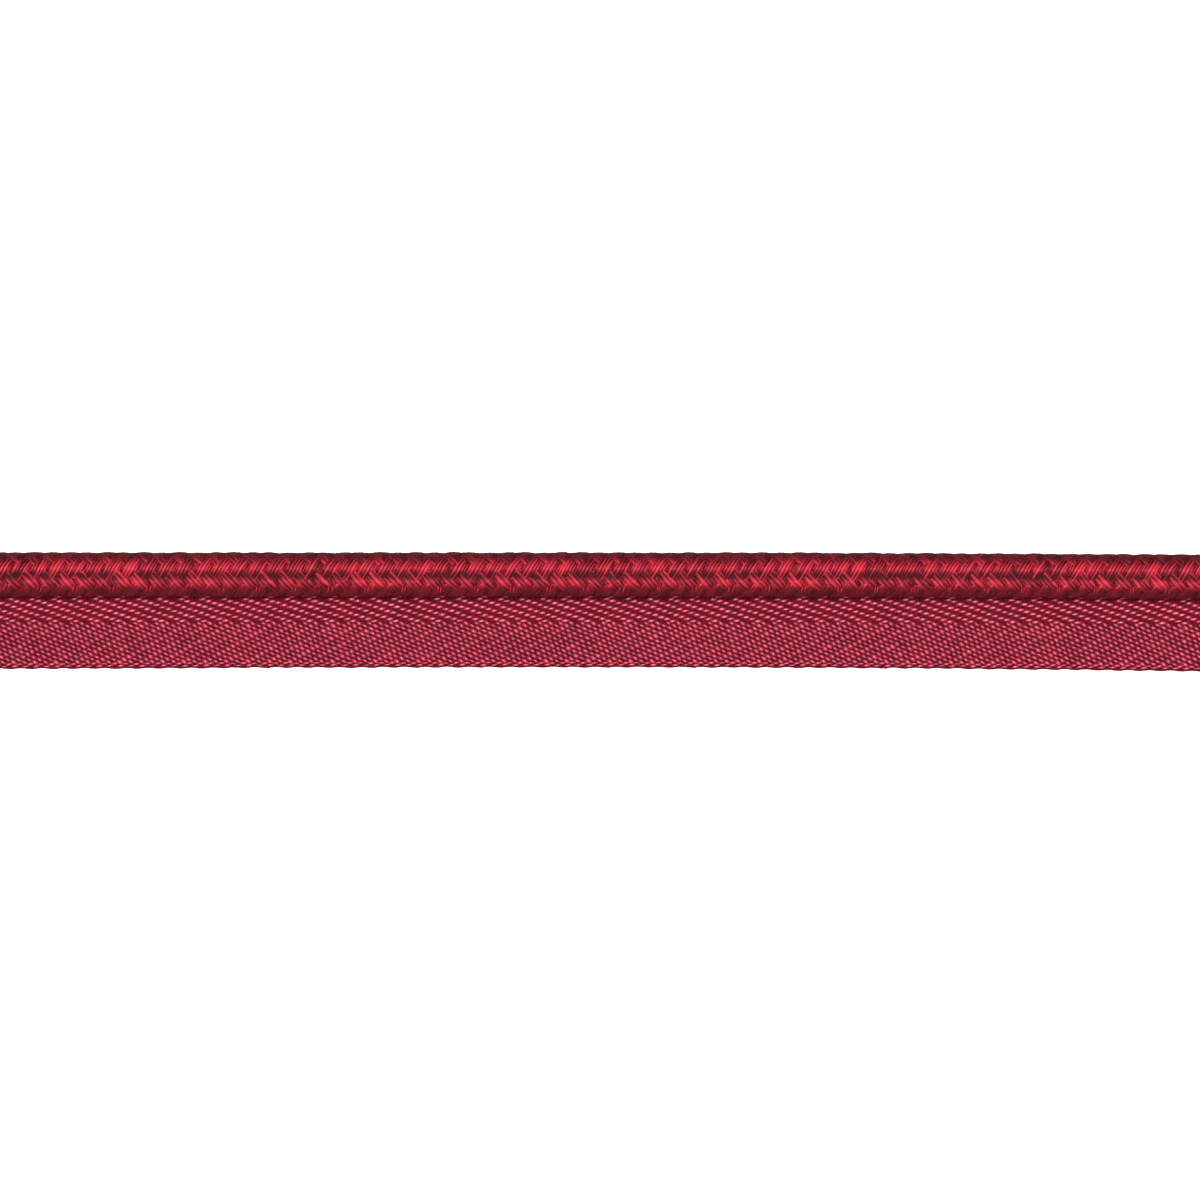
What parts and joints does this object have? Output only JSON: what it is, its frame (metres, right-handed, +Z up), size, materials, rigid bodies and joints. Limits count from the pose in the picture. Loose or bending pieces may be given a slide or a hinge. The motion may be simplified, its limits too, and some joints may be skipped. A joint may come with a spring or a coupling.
{
  "type": "cut length of braided lip cord",
  "caption": "Straight cut length of lip cord lying flat: a round braided cord along the header of a narrow woven tape with a selvedge at its free edge.",
  "frame": {"origin": "middle of the trim's footprint, on the surface that it lies on", "axes": "+X along the trim, +Y from the tape's free edge towards the cord, +Z up from the surface"},
  "size_m": [0.18, 0.0164, 0.0073],
  "materials": {
    "cord_yarn": "lustrous twisted yarn, dark red",
    "tape_weave": "dense weave, slightly pinker red"
  },
  "bodies": {
    "root": {"braided_cord": "cord_yarn", "lip_tape": "tape_weave"}
  },
  "joints": []
}
